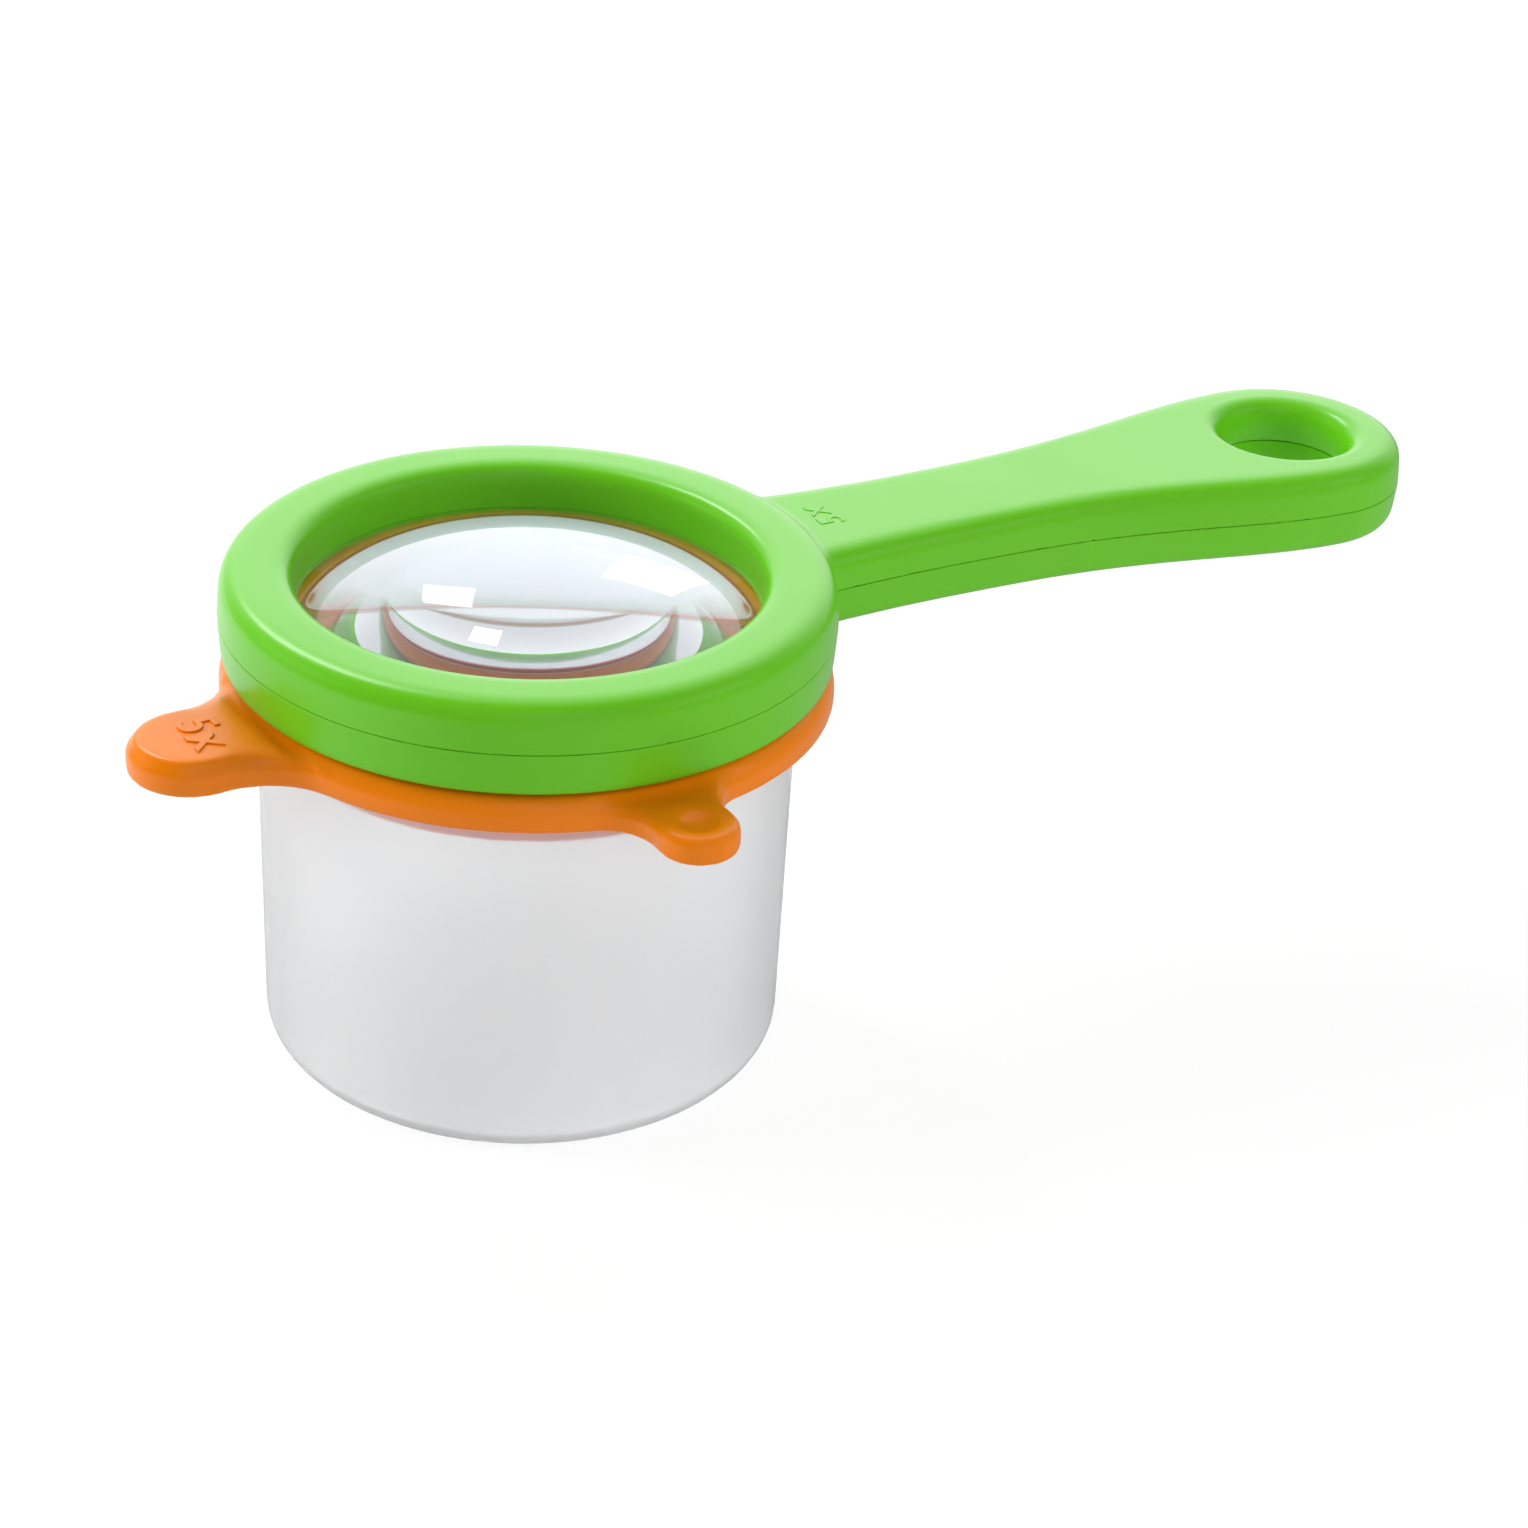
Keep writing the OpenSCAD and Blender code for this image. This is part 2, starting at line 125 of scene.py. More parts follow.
def extrudeLoop(first, second):
    (r0, z0), (r1, z1) = first, second
    bpy.ops.mesh.extrude_edges_move(TRANSFORM_OT_translate={"value": (0, 0, (z1 - z0) * mm)})
    bpy.ops.transform.resize(value=(r1 / r0, r1 / r0, 1), center_override=(0, 0, z1 * mm))


def turned(name, stations, steps=256, floorFan=False):
    # a circle drawn through every station of a profile, as on a lathe
    piece = startLoop(name, steps, stations[0][0], stations[0][1], "TRIFAN" if floorFan else "NOTHING")
    bpy.ops.object.mode_set(mode="EDIT")
    bpy.ops.mesh.select_mode(type="EDGE")
    if floorFan:
        bpy.ops.mesh.select_all(action="DESELECT")
        bpy.ops.mesh.select_non_manifold()
    else:
        bpy.ops.mesh.select_all(action="SELECT")
    for first, second in zip(stations, stations[1:]):
        extrudeLoop(first, second)
    closeUp()
    return piece


def closeUp():
    bpy.ops.mesh.select_all(action="SELECT")
    bpy.ops.mesh.remove_doubles(threshold=0.002 * mm)
    bpy.ops.mesh.normals_make_consistent(inside=False)
    bpy.ops.object.mode_set(mode="OBJECT")


def lofted(name, loops):
    # a filled outline drawn up through the loops, each with as many points
    count = len(loops[0])
    piece = startLoop(name, count, 1, 0)
    bpy.ops.object.mode_set(mode="EDIT")
    mesh = bmesh.from_edit_mesh(piece.data)
    number = mesh.verts.layers.int.new("number")
    for i, vert in enumerate(mesh.verts):
        vert[number] = i
        vert.co = Vector(loops[0][i]) * mm
    bmesh.update_edit_mesh(piece.data)
    bpy.ops.mesh.select_mode(type="EDGE")
    bpy.ops.mesh.select_all(action="SELECT")
    bpy.ops.mesh.fill(use_beauty=True)
    bpy.ops.mesh.select_all(action="DESELECT")
    bpy.ops.mesh.select_non_manifold()
    for loop in loops[1:]:
        bpy.ops.mesh.extrude_edges_move(TRANSFORM_OT_translate={"value": (0, 0, 0.01 * mm)})
        mesh = bmesh.from_edit_mesh(piece.data)
        number = mesh.verts.layers.int["number"]
        for vert in mesh.verts:
            if vert.select:
                vert.co = Vector(loop[vert[number]]) * mm
        bmesh.update_edit_mesh(piece.data)
    bpy.ops.mesh.fill(use_beauty=True)
    closeUp()
    return piece


def applyModifier(piece, kind, **settings):
    makeActive(piece)
    modifier = piece.modifiers.new(kind.lower(), kind)
    for key, value in settings.items():
        setattr(modifier, key, value)
    bpy.ops.object.modifier_apply(modifier=modifier.name)


def joinSolid(piece, other, operation="UNION"):
    applyModifier(piece, "BOOLEAN", operation=operation, object=other, solver="EXACT")
    bpy.data.objects.remove(other)


def remeshed(piece, voxel, rounds):
    # one skin over the joined solids, which gives the moulded part its soft inner corners
    applyModifier(piece, "REMESH", mode="VOXEL", voxel_size=voxel * mm, adaptivity=0)
    bpy.ops.object.mode_set(mode="EDIT")
    bpy.ops.mesh.select_all(action="SELECT")
    bpy.ops.mesh.vertices_smooth(factor=0.5, repeat=rounds)
    bpy.ops.object.mode_set(mode="OBJECT")


def cutFlat(piece, height, keepAbove, bevel):
    # parting face: everything on the other side goes, the face is filled and its edge is eased
    makeActive(piece)
    bpy.ops.object.mode_set(mode="EDIT")
    bpy.ops.mesh.select_mode(type="EDGE")
    bpy.ops.mesh.select_all(action="SELECT")
    bpy.ops.mesh.bisect(plane_co=(0, 0, height * mm), plane_no=(0, 0, 1), use_fill=False,
                        clear_inner=keepAbove, clear_outer=not keepAbove)
    bpy.ops.mesh.select_all(action="DESELECT")
    bpy.ops.mesh.select_non_manifold()
    bpy.ops.mesh.fill(use_beauty=True)
    selectFlat(piece, height, False)
    bpy.ops.mesh.bevel(offset=bevel * mm, segments=2, affect="EDGES")


def raiseLand(piece, height, margin, step):
    # all of the parting face but a margin along its edge steps up to meet the other half
    selectFlat(piece, height, True)
    bpy.ops.mesh.inset(thickness=margin * mm, use_even_offset=False, use_boundary=True)
    bpy.ops.transform.translate(value=(0, 0, step * mm))
    closeUp()


def selectFlat(piece, height, faces):
    # the faces of the parting plane, or only the edges where they meet the walls
    bpy.ops.mesh.select_mode(type="FACE" if faces else "EDGE")
    bpy.ops.mesh.select_all(action="DESELECT")
    mesh = bmesh.from_edit_mesh(piece.data)
    for edge in mesh.edges:
        flat = all(abs(v.co.z - height * mm) < 1e-6 for v in edge.verts)
        level = [abs(f.normal.z) > 0.99 for f in edge.link_faces]
        edge.select = not faces and flat and any(level) and not all(level)
    if faces:
        for face in mesh.faces:
            face.select_set(all(abs(v.co.z - height * mm) < 1e-6 for v in face.verts))
    bmesh.update_edit_mesh(piece.data)


def softened(piece, wanted, rounds):
    # blends the surface among the points that are wanted, given in millimetres
    makeActive(piece)
    bpy.ops.object.mode_set(mode="EDIT")
    bpy.ops.mesh.select_mode(type="VERT")
    bpy.ops.mesh.select_all(action="DESELECT")
    mesh = bmesh.from_edit_mesh(piece.data)
    for vert in mesh.verts:
        vert.select = wanted(vert.co / mm)
    bmesh.update_edit_mesh(piece.data)
    bpy.ops.mesh.vertices_smooth(factor=0.5, repeat=rounds)
    bpy.ops.object.mode_set(mode="OBJECT")


def raisedMark(name, signs, surface):
    # figures that stand up from a moulding: text, size, centre and relief, drawn across the X axis
    marks = []
    for text, size, x, y, relief in signs:
        clearSelection()
        bpy.ops.object.text_add()
        mark = bpy.context.object
        mark.data.body, mark.data.size = text, size * mm
        mark.data.extrude, mark.data.bevel_depth = relief * 0.7 * mm, relief * 0.3 * mm
        bpy.ops.object.convert(target="MESH")
        mark = bpy.context.object
        middle = (Vector(mark.bound_box[0]) + Vector(mark.bound_box[6])) / 2
        mark.data.transform(Matrix.Translation((x * mm, y * mm, 0)) @ Matrix.Rotation(math.pi / 2, 4, "Z")
                            @ Matrix.Translation((-middle.x, -middle.y, 0)))
        marks.append(mark)
    makeActive(marks[0])
    for mark in marks:
        mark.select_set(True)
    bpy.ops.object.join()
    piece = bpy.context.object
    piece.name = piece.data.name = name
    return piece


def laidOn(mark, surface):
    # the mark follows the surface under it
    makeActive(mark)
    bpy.ops.object.mode_set(mode="EDIT")
    bpy.ops.mesh.select_all(action="SELECT")
    bpy.ops.mesh.quads_convert_to_tris()
    bpy.ops.mesh.subdivide(number_cuts=3)
    bpy.ops.object.mode_set(mode="OBJECT")
    for vert in mark.data.vertices:
        start = Vector((vert.co.x, vert.co.y, place["ringTop"] * mm * 1.1))
        hit, at, normal, index = surface.ray_cast(start, Vector((0, 0, -1)))
        vert.co.z += at.z
    makeActive(mark)
    bpy.ops.object.mode_set(mode="EDIT")
    closeUp()


def smooth(piece, angle=35):
    makeActive(piece)
    bpy.ops.object.shade_smooth_by_angle(angle=math.radians(angle))


def finished(piece, body, node, material):
    piece.data.materials.clear()
    piece.data.materials.append(material)
    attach(piece, body)
    if node:
        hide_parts(*node)


# Shader maths: a socket that adds nodes when it is calculated with

class Socket:
    def __init__(self, tree, socket):
        self.tree, self.socket = tree, socket

    def node(self, kind, settings=None, values=None, output=0):
        made = self.tree.nodes.new(kind)
        for key, value in (settings or {}).items():
            setattr(made, key, value)
        for key, value in (values or {}).items():
            if isinstance(value, Socket):
                self.tree.links.new(value.socket, made.inputs[key])
            else:
                made.inputs[key].default_value = value
        return Socket(self.tree, made.outputs[output])

    def maths(self, operation, *values):
        return self.node("ShaderNodeMath", {"operation": operation}, dict(enumerate(values)))

    def __add__(self, other):
        return self.maths("ADD", self, other)

    def __sub__(self, other):
        return self.maths("SUBTRACT", self, other)

    def __rsub__(self, other):
        return self.maths("SUBTRACT", other, self)

    def __mul__(self, other):
        return self.maths("MULTIPLY", self, other)

    def __pow__(self, other):
        return self.maths("POWER", self, other)

    __radd__ = __add__
    __rmul__ = __mul__


def newMaterial(name):
    material = bpy.data.materials.new(name)
    material.use_nodes = True
    tree = material.node_tree
    shader = tree.nodes["Principled BSDF"]
    coordinates = tree.nodes.new("ShaderNodeTexCoord")
    return material, shader, Socket(tree, coordinates.outputs["Object"])


def link(socket, shader, name):
    socket.tree.links.new(socket.socket, shader.inputs[name])


def noise(at, scale, detail=3.0, roughness=0.5):
    return at.node("ShaderNodeTexNoise", None, {"Vector": at, "Scale": scale, "Detail": detail, "Roughness": roughness})


def ramp(at, first, second):
    # value from first to second becomes 0 to 1
    return at.node("ShaderNodeMapRange", None, {"Value": at, "From Min": first, "From Max": second})


def tint(mask, first, second):
    mixed = mask.tree.nodes.new("ShaderNodeMix")
    mixed.data_type = "RGBA"
    mask.tree.links.new(mask.socket, mixed.inputs["Factor"])
    mixed.inputs[6].default_value = (*first, 1)
    mixed.inputs[7].default_value = (*second, 1)
    return Socket(mask.tree, mixed.outputs[2])


def bump(at, height, distance, strength=1.0):
    return at.node("ShaderNodeBump", None, {"Height": height, "Distance": distance * mm, "Strength": strength})


def mouldedPlastic(name, colour, deeper, roughness, shine=0.5):
    # coloured plastic from a satin mould: a fine even grain, a slow drift of tone and softer or sharper gloss
    material, shader, at = newMaterial(name)
    drift = ramp(noise(at, 45, 2), 0.3, 0.7)
    grain = noise(at, 2600, 2)
    link(tint(drift, colour, deeper), shader, "Base Color")
    link(roughness + (drift - 0.5) * 0.06, shader, "Roughness")
    link(bump(at, grain, 0.006), shader, "Normal")
    shader.inputs["IOR"].default_value = 1.5
    shader.inputs["Specular IOR Level"].default_value = shine
    return material


greenPlastic = mouldedPlastic("brightGreenPlastic", (0.150, 0.60, 0.012), (0.143, 0.585, 0.011), 0.30)
orangePlastic = mouldedPlastic("orangePlastic", (0.92, 0.230, 0.001), (0.90, 0.220, 0.001), 0.32, 0.35)
redPlastic = mouldedPlastic("redPlastic", (0.92, 0.15, 0.085), (0.90, 0.14, 0.08), 0.35)


def lensPlastic():
    # polished acrylic: clear, with hairline rub marks that only the roughness shows
    material, shader, at = newMaterial("clearAcrylic")
    rub = ramp(noise(at, 400, 4, 0.7), 0.62, 0.75)
    link(rub * 0.01, shader, "Roughness")
    shader.inputs["Base Color"].default_value = (0.87, 0.91, 0.95, 1)
    shader.inputs["IOR"].default_value = 1.49
    shader.inputs["Transmission Weight"].default_value = 1.0
    return material


def jarPlastic():
    # milky polypropylene: light goes through it and is blurred
    material, shader, at = newMaterial("milkyPolypropylene")
    cloud = ramp(noise(at, 30, 2), 0.3, 0.7)
    link(tint(cloud, (0.97, 0.98, 0.985), (0.955, 0.97, 0.98)), shader, "Base Color")
    link(0.38 + cloud * 0.04, shader, "Roughness")
    shader.inputs["IOR"].default_value = 1.22
    shader.inputs["Transmission Weight"].default_value = 0.7
    return material


clearAcrylic = lensPlastic()
milkyPlastic = jarPlastic()
print("materials made")


# Jar: one turned wall with a bead under the lid

jarSizes = {
    "mouth": 35.3, "draft": 0.6, "wall": 1.4, "floor": 1.6, "corner": 4.6, "beadHeight": 1.6,
    "footRadius": 26.0, "footDepth": 0.35, "footSlope": 1.2,
}


def makeJar(s):
    top, base = place["jarMouth"], s["mouth"] - s["draft"]
    inside = base - s["wall"]
    bead = place["beadRadius"]
    corners = [
        (s["footRadius"] - s["footSlope"], s["footDepth"], 0.3), (s["footRadius"], 0, 0.3), (base, 0, s["corner"]),
        (s["mouth"] - 0.02, top - s["beadHeight"], 0.1), (bead, top - s["beadHeight"], 0.5), (bead, top, 0.5),
        (s["mouth"] - s["wall"], top, 0.4), (inside, s["floor"], s["corner"] - s["wall"]),
        (s["footRadius"], s["floor"], 0.3), (s["footRadius"] - s["footSlope"], s["floor"] + s["footDepth"], 0.3),
    ]
    stations = []
    for i in range(len(corners)):
        r, z, edge = corners[i]
        before = corners[i - 1][:2] if i else (1, s["footDepth"])
        after = corners[i + 1][:2] if i + 1 < len(corners) else (1, s["floor"] + s["footDepth"])
        stations += arcPoints(before, (r, z), after, edge, 8)
    stations.append((0.0001, s["floor"] + s["footDepth"]))
    return turned("jarCup", stations, 256, floorFan=True)


jar = makeJar(jarSizes)
smooth(jar)
finished(jar, "jar", ["jar"], milkyPlastic)
print("jar made")


# Lenses: a flange with a dome above and below

def domeStations(clearRadius, flangeZ, rise, steps):
    # from the rim of the dome to its top
    ball = (clearRadius ** 2 + rise ** 2) / (2 * abs(rise))
    reach = math.asin(min(1, clearRadius / ball))
    sign = 1 if rise > 0 else -1
    points = []
    for i in range(steps + 1):
        angle = reach * (1 - i / steps)
        radius = max(ball * math.sin(angle), 0.0001)
        points.append((radius, flangeZ + sign * (ball * math.cos(angle) - ball + abs(rise))))
    return points


def makeLens(name, radius, clearRadius, flangeLow, flangeTop, rise, drop, edge=0.25):
    lower = domeStations(clearRadius, flangeLow, -drop, 40)[::-1]
    upper = domeStations(clearRadius, flangeTop, rise, 40)
    rim = [(clearRadius, flangeLow), (radius, flangeLow), (radius, flangeTop), (clearRadius, flangeTop)]
    side = arcPoints(rim[0], rim[1], rim[2], edge, 3) + arcPoints(rim[1], rim[2], rim[3], edge, 3)
    stations = lower[1:] + side + upper
    piece = turned(name, stations, 256, floorFan=True)
    for vert in piece.data.vertices:
        if vert.co.xy.length < 0.01 * mm and vert.co.z < flangeLow * mm:
            vert.co.z = (flangeLow - drop) * mm
    return piece


magnifierLens = {"radius": high("magnifier_lens").x, "clear": 30.04, "flange": 2.0}
magnifierLens["rise"] = high("magnifier_lens").z - place["seam"]
magnifierLens["drop"] = place["seam"] - magnifierLens["flange"] - low("magnifier_lens").z
lidLens = {"radius": high("lid_lens").x, "clear": 28.4, "flangeTop": place["lidTop"] - 1.1, "flange": 2.0}
lidLens["rise"] = high("lid_lens").z - lidLens["flangeTop"]
lidLens["drop"] = lidLens["flangeTop"] - lidLens["flange"] - low("lid_lens").z

upperLens = makeLens("magnifierGlass", magnifierLens["radius"], magnifierLens["clear"],
                     place["seam"] - magnifierLens["flange"], place["seam"],
                     magnifierLens["rise"], magnifierLens["drop"])
smooth(upperLens, 20)
finished(upperLens, "magnifier_core", ["magnifier_lens"], clearAcrylic)
lowerLens = makeLens("lidGlass", lidLens["radius"], lidLens["clear"],
                     lidLens["flangeTop"] - lidLens["flange"], lidLens["flangeTop"],
                     lidLens["rise"], lidLens["drop"])
smooth(lowerLens, 20)
finished(lowerLens, "lid_core", ["lid_lens"], clearAcrylic)
# clear lenses let the lamps' light pass into the jar
upperLens.visible_shadow = lowerLens.visible_shadow = False
print("lenses made")


# Magnifier shells: a turned ring and a lofted handle under one moulded skin

shellSizes = {
    "window": 30.34, "lean": 0.4, "topEdge": 3.0, "windowEdge": 2.2, "lowEdge": 1.4,
    "neckX": 60, "neckHalf": 10.5, "rootFlare": 1.2, "rootX": 36.4, "endRadius": 17.1, "swell": 1.45,
    # how high the handle stands over the seam and under it, along X
    "crest": [(40, 5.15), (101.6, 6.0)], "belly": [(40, 5.7)],
    "handleTopEdge": 2.8, "handleLowEdge": 2.0,
    "holeRadius": 9.3, "holeTopEdge": 2.3, "holeLowEdge": 1.6, "voxel": 0.5, "overlap": 2.0,
    "seamBevel": 0.07, "seamGap": 0.18, "seamMargin": 0.5,
}
# generic power mark at the handle's root: text, size, centre and relief
handleMark = [("5", 5.3, 43.6, -1.1, 0.1), ("x", 6.0, 43.3, 2.1, 0.1)]


def eased(t):
    return (1 - math.cos(math.pi * min(max(t, 0), 1))) / 2


def handleHalf(x, s):
    endX = place["handleTip"] - s["endRadius"]
    if x < s["neckX"]:
        return s["neckHalf"] + s["rootFlare"] * ((s["neckX"] - x) / (s["neckX"] - s["rootX"])) ** 2
    share = ((x - s["neckX"]) / (endX - s["neckX"])) ** s["swell"]
    return s["neckHalf"] + (s["endRadius"] - s["neckHalf"]) * eased(share)


def handleOutline(s, along=70, around=32):
    # points with outward directions, from the root along one side, round the tip and back
    endX = place["handleTip"] - s["endRadius"]
    side = []
    for i in range(along):
        x = s["rootX"] + (endX - s["rootX"]) * i / along
        slope = (handleHalf(x + 0.01, s) - handleHalf(x - 0.01, s)) / 0.02
        out = Vector((-slope, 1)).normalized()
        side.append((x, handleHalf(x, s), out.x, out.y))
    for i in range(around + 1):
        angle = math.pi / 2 * i / around
        side.append((endX + s["endRadius"] * math.sin(angle), s["endRadius"] * math.cos(angle),
                     math.sin(angle), math.cos(angle)))
    return side + [(x, -y, nx, -ny) for x, y, nx, ny in side[-2::-1]]


def heightAt(x, stations):
    # height along the handle, eased from station to station
    height = stations[0][1]
    for (x0, z0), (x1, z1) in zip(stations, stations[1:]):
        if x > x0:
            height = z0 + (z1 - z0) * eased((x - x0) / (x1 - x0))
    return height


def handleLoops(s, edge, stations, direction):
    outline = handleOutline(s)
    levels = [(0.0, None)] + [(s["lean"] + edge * (1 - math.cos(a)), edge * (math.sin(a) - 1))
                              for a in [math.pi / 2 * i / 8 for i in range(9)]]
    levels += [(s["lean"] + edge + extra, 0.0) for extra in (1.5, 3.0, 4.5)]
    loops = []
    for inset, below in levels:
        loop = []
        for x, y, nx, ny in outline:
            height = -s["overlap"] if below is None else heightAt(x, stations) + below
            px = max(x - inset * nx, s["rootX"])
            loop.append((px, y - inset * ny, place["seam"] + direction * height))
        loops.append(loop)
    return loops


def holeCutter(s, height, edge, direction):
    # a bore that opens with a rounded lip
    endX = place["handleTip"] - s["endRadius"]
    seam = place["seam"]
    stations = [(s["holeRadius"], seam - direction * (s["overlap"] + 1))]
    for i in range(9):
        angle = math.pi / 2 * i / 8
        stations.append((s["holeRadius"] + edge * (1 - math.cos(angle)),
                         seam + direction * (height - edge + edge * math.sin(angle))))
    stations.append((s["holeRadius"] + edge, seam + direction * (height + 1)))
    stations.append((0.0001, seam + direction * (height + 1)))
    cutter = turned("holeCutter", stations, 96, floorFan=True)
    cutter.data.transform(Matrix.Translation((endX * mm, 0, 0)))
    return cutter


def makeShell(name, s, direction):
    seam = place["seam"]
    if direction > 0:
        height, edges = place["ringTop"] - seam, (s["windowEdge"], s["topEdge"])
        handleEdge, stations, holeEdge = s["handleTopEdge"], s["crest"], s["holeTopEdge"]
    else:
        height, edges = seam - place["lidTop"], (s["lowEdge"] / 2, s["lowEdge"])
        handleEdge, stations, holeEdge = s["handleLowEdge"], s["belly"], s["holeLowEdge"]
    far, back = seam + direction * height, seam - direction * s["overlap"]
    radius = place["ringRadius"]
    ring = turned(name, roundedProfile([
        (s["window"], back, 0), (s["window"], far, edges[0]),
        (radius - s["lean"], far, edges[1]), (radius, seam, 0), (radius, back, 0)]), 256)
    handle = lofted("handle", handleLoops(s, handleEdge, stations, direction))
    joinSolid(ring, handle)
    remeshed(ring, s["voxel"], 4)
    joinSolid(ring, holeCutter(s, stations[-1][1], holeEdge, direction), "DIFFERENCE")
    face = seam + direction * s["seamGap"] / 2
    cutFlat(ring, face, direction > 0, s["seamBevel"])
    raiseLand(ring, face, s["seamMargin"], seam - face)
    return ring


topShell = makeShell("topShell", shellSizes, 1)
smooth(topShell, 40)
finished(topShell, "magnifier_shells", ["magnifier_top_shell"], greenPlastic)
powerMark = raisedMark("handleMark", handleMark, topShell)
laidOn(powerMark, topShell)
smooth(powerMark)
finished(powerMark, "magnifier_shells", None, greenPlastic)
print("top shell made")
bottomShell = makeShell("bottomShell", shellSizes, -1)
smooth(bottomShell, 40)
finished(bottomShell, "magnifier_shells", ["magnifier_bottom_shell"], greenPlastic)
print("bottom shell made")


# Lid: the rim and both tabs under one moulded skin, joined to the turned plate and collar

lidSizes = {
    "rimEdge": 3.2, "rimLowEdge": 0.4, "skirtInside": 36.5, "innerEdge": 34.0, "tabHeight": 3.6, "voxel": 0.42,
    "window": 28.6, "collarOutside": 30.04, "collarTop": 0.3, "collarEdge": 0.14, "pocket": 29.4, "cover": 1.06,
    "grooveMiddle": 31.5, "grooveHalf": 0.56, "grooveDepth": 1.06,
}
pullTab = {
    "reach": 56.2, "half": 8.0, "angle": 185.7, "root": 10.5, "edge": 0.9,
    "dishDepth": 0.7, "dishMargin": 0.9, "dishReach": 4.5,
    "pocketDepth": 1.3, "pocketMargin": 1.8, "pocketStart": 43.0, "blend": (37.6, 45, 16), "blendRounds": 40,
    # generic power mark: text, size, centre and relief
    "mark": [("5", 7.2, 46.4, -1.8, 0.24), ("x", 7.9, 47.5, 2.5, 0.24)],
}
smallTab = {
    "reach": 51.8, "half": 5.2, "angle": 271.2, "root": 6.4, "edge": 1.2, "dimpleDepth": 0.9, "dimpleRadius": 2.8,
    "blend": (37.6, 44, 13), "blendRounds": 25,
}


def tabOutline(tab, s, steps=14):
    # points with outward directions: out of the rim, round the soft root, along the side and round the end
    radius, root = place["ringRadius"], tab["root"]
    centreY = tab["half"] + root
    centreX = math.sqrt((radius + root) ** 2 - centreY ** 2)
    first = math.atan2(-centreY, -centreX)
    side = [(s["innerEdge"] + 1, radius * centreY / (radius + root), 0, 1)]
    for i in range(steps + 1):
        angle = first + (-math.pi / 2 - first) * i / steps
        x, y = centreX + root * math.cos(angle), centreY + root * math.sin(angle)
        side.append((x, y, -math.cos(angle), -math.sin(angle)))
    endX = tab["reach"] - tab["half"]
    for i in range(steps + 1):
        angle = math.pi / 2 * (1 - i / steps)
        side.append((endX + tab["half"] * math.cos(angle), tab["half"] * math.sin(angle),
                     math.cos(angle), math.sin(angle)))
    return side + [(x, -y, nx, -ny) for x, y, nx, ny in side[-2::-1]]


def makeTab(tab, s):
    quarter = [math.pi / 2 * i / 6 for i in range(7)]
    lowEdge, edge = s["rimLowEdge"], tab["edge"]
    levels = [(lowEdge * (1 - math.sin(a)), lowEdge * (1 - math.cos(a))) for a in quarter]
    levels += [(edge * (1 - math.cos(a)), s["tabHeight"] - edge * (1 - math.sin(a))) for a in quarter]
    return lofted("tab", insetLoops(tabOutline(tab, s), levels, 0))


def insetLoops(outline, levels, start):
    # an outline drawn in by each level's inset, at its height over the rim's low edge, and cut off at start
    return [[(max(x - inset * nx, start), y - inset * ny, place["rimLow"] + height) for x, y, nx, ny in outline]
            for inset, height in levels]


def dishOut(piece, tab, s):
    # a shallow dish that follows the tab's outline and flattens towards its middle
    top = s["tabHeight"]
    levels = [(tab["dishMargin"], top + 1)]
    for i in range(7):
        share = i / 6
        depth = tab["dishDepth"] * math.sin(share * math.pi / 2)
        levels.append((tab["dishMargin"] + tab["dishReach"] * share, top - depth))
    joinSolid(piece, lofted("dish", insetLoops(tabOutline(tab, s), levels, place["ringRadius"])), "DIFFERENCE")


def pocketOut(piece, tab, s):
    # the underside is cored out, so that the thick tab cools evenly in its mould
    levels = [(tab["pocketMargin"], -1), (tab["pocketMargin"], tab["pocketDepth"])]
    joinSolid(piece, lofted("pocket", insetLoops(tabOutline(tab, s), levels, tab["pocketStart"])), "DIFFERENCE")


def blendTab(lid, tab, s):
    # the tab's top runs softly into the rim
    first, last, half = tab["blend"]
    turn = Matrix.Rotation(math.radians(-tab["angle"]), 3, "Z")
    lowest = place["rimLow"] + s["tabHeight"] - tab["edge"]

    def wanted(point):
        local = turn @ point
        return first < local.x < reach and abs(local.y) < half and point.z > lowest

    for reach in (last - 1, last, last + 1):
        softened(lid, wanted, tab["blendRounds"] // 3)


def scoopOut(piece, centreX, height, radiusX, radiusY, depth):
    # a shallow ellipsoid sunk into the top of a tab
    clearSelection()
    bpy.ops.mesh.primitive_uv_sphere_add(segments=64, ring_count=48, radius=1)
    scoop = bpy.context.object
    squeeze = depth * 2.5
    drop = math.sqrt(1 - ((squeeze - depth) / squeeze) ** 2)
    scoop.scale = Vector((radiusX / drop, radiusY / drop, squeeze)) * mm
    scoop.location = Vector((centreX, 0, height + squeeze - depth)) * mm
    bpy.ops.object.transform_apply(location=True, rotation=True, scale=True)
    joinSolid(piece, scoop, "DIFFERENCE")


def turnedAbout(piece, degrees):
    piece.data.transform(Matrix.Rotation(math.radians(degrees), 4, "Z"))


